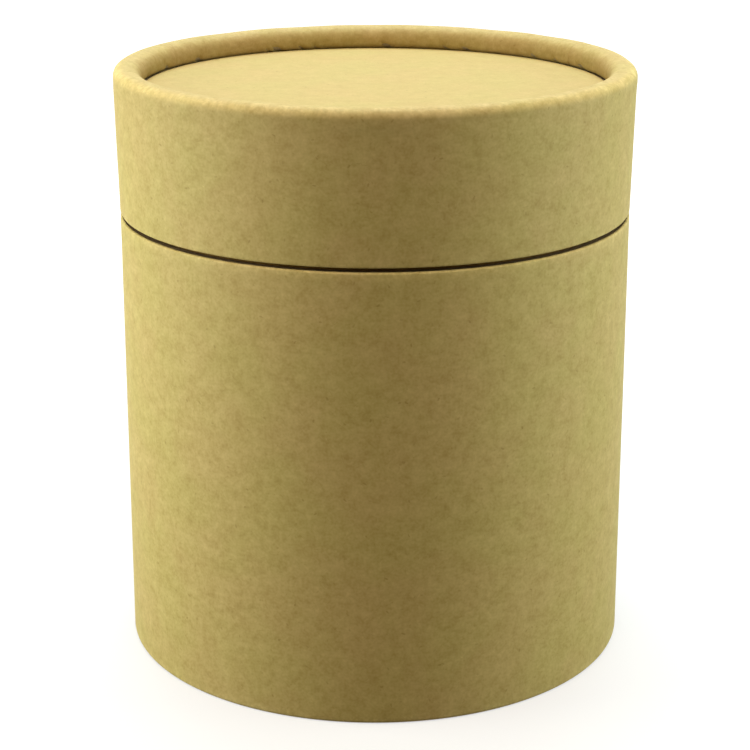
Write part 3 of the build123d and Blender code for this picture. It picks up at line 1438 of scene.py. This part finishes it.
@dataclass(frozen=True)
class Studio:
    """Floor, lamps, sky and camera.

    Attributes:
        floor_radius: radius of the floor.
        floor_sides: number of sides of the floor.
        sky: linear colour of the light from all round.
        sky_strength: how strong that light is.
        camera_place: where the camera stands.
        camera_pitch: how far it looks down.
        lens: focal length in millimetres.
        sensor: width of the sensor in millimetres.
        shift: vertical shift of the picture, as a share of its width.
        clip: nearest and farthest distance that the camera sees.
    """

    floor_radius: float = 6.0
    floor_sides: int = 96
    sky: Colour = (1.0, 0.82, 0.5)
    sky_strength: float = 0.1
    camera_place: tuple[float, float, float] = (0.0, -0.3584, 0.1653)
    camera_pitch: float = math.radians(16.44)
    lens: float = 96.96
    sensor: float = 36.0
    shift: float = -0.08
    clip: tuple[float, float] = (0.01, 50.0)

    def lamps(self) -> tuple[Softbox, ...]:
        """The lamps."""
        return (
            Softbox("left_box", -82, 10, 0.28, 0.2, 0.85, (0.92, 1.0, 0.9)),
            Softbox("right_box", 84, 10, 0.28, 0.2, 0.61, (0.86, 1.0, 0.92)),
            Softbox("front_top_box", 0, 75, 0.9, 0.5, 5.6, (1.0, 0.82, 0.7)),
            Softbox("back_top_box", 180, 65, 0.7, 0.5, 5.5, (0.7, 0.87, 1.0)),
        )

    def build(self) -> None:
        """Sets the stage."""
        bpy.context.scene.view_settings.view_transform = "Standard"
        for lamp in self.lamps():
            lamp.hang()
        self.lay_floor()
        self.paint_sky()
        self.set_camera()

    def lay_floor(self) -> None:
        """Lays the floor."""
        mesh = bmesh.new()
        bmesh.ops.create_circle(mesh, cap_ends=True, segments=self.floor_sides, radius=self.floor_radius)
        data = bpy.data.meshes.new("floor")
        mesh.to_mesh(data)
        mesh.free()
        data.materials.append(PaleFloor("pale_floor").material())
        floor = bpy.data.objects.new("floor", data)
        bpy.context.scene.collection.objects.link(floor)

    def paint_sky(self) -> None:
        """Makes the light from all round, and the white that is seen behind the box."""
        world = bpy.data.worlds.new("studio")
        world.use_nodes = True
        bpy.context.scene.world = world
        graph = Graph(world.node_tree)
        fill = graph.add("Background", {"Color": (*self.sky, 1.0), "Strength": self.sky_strength})
        white = graph.add("Background", {"Color": (1.0, 1.0, 1.0, 1.0)})
        shown = {0: graph.seen_rays(), 1: fill.outputs[0], 2: white.outputs[0]}
        graph.end("OutputWorld", graph.add("MixShader", shown).outputs[0])

    def set_camera(self) -> None:
        """Puts the camera where the photograph was taken from."""
        data = bpy.data.cameras.new("camera")
        data.lens, data.sensor_width, data.shift_y = self.lens, self.sensor, self.shift
        data.clip_start, data.clip_end = self.clip
        camera = bpy.data.objects.new("camera", data)
        camera.location = self.camera_place
        camera.rotation_euler = (QUARTER_TURN - self.camera_pitch, 0, 0)
        bpy.context.scene.collection.objects.link(camera)
        bpy.context.scene.camera = camera


def dress_inner_boards(finishes: Finishes) -> None:
    """Gives the discs, which only their papers cover, the board's finish.

    Args:
        finishes: the materials.
    """
    for name in ("base_disc", "lid_disc"):
        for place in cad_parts[name].material_slots:
            place.material = finishes.board
        LOG.info("%s: packed solid, new finish", name)


def main() -> None:
    """Builds the box and its stage."""
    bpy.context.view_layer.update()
    wrap = KraftPaper("kraft_wrap_paper", (0.51, 0.38, 0.144), (0.49, 0.386, 0.134))
    facing = KraftPaper(
        "kraft_facing_paper", (0.505, 0.377, 0.138), (0.49, 0.386, 0.134), depth=(0.17, 0.19, 0.28)
    )
    lining = KraftPaper("kraft_lining_paper", (0.51, 0.385, 0.175), (0.49, 0.395, 0.165), flecks=0.3)
    board = WoundBoard("wound_board", (0.31, 0.24, 0.14))
    finishes = Finishes(*(finish.material() for finish in (wrap, facing, lining, board)))
    Base(finishes, Body.BASE).build()
    Lid(finishes, Body.LID).build()
    dress_inner_boards(finishes)
    Studio().build()


if __name__ == "__main__":
    logging.basicConfig(level=logging.INFO, format="%(message)s")
    main()
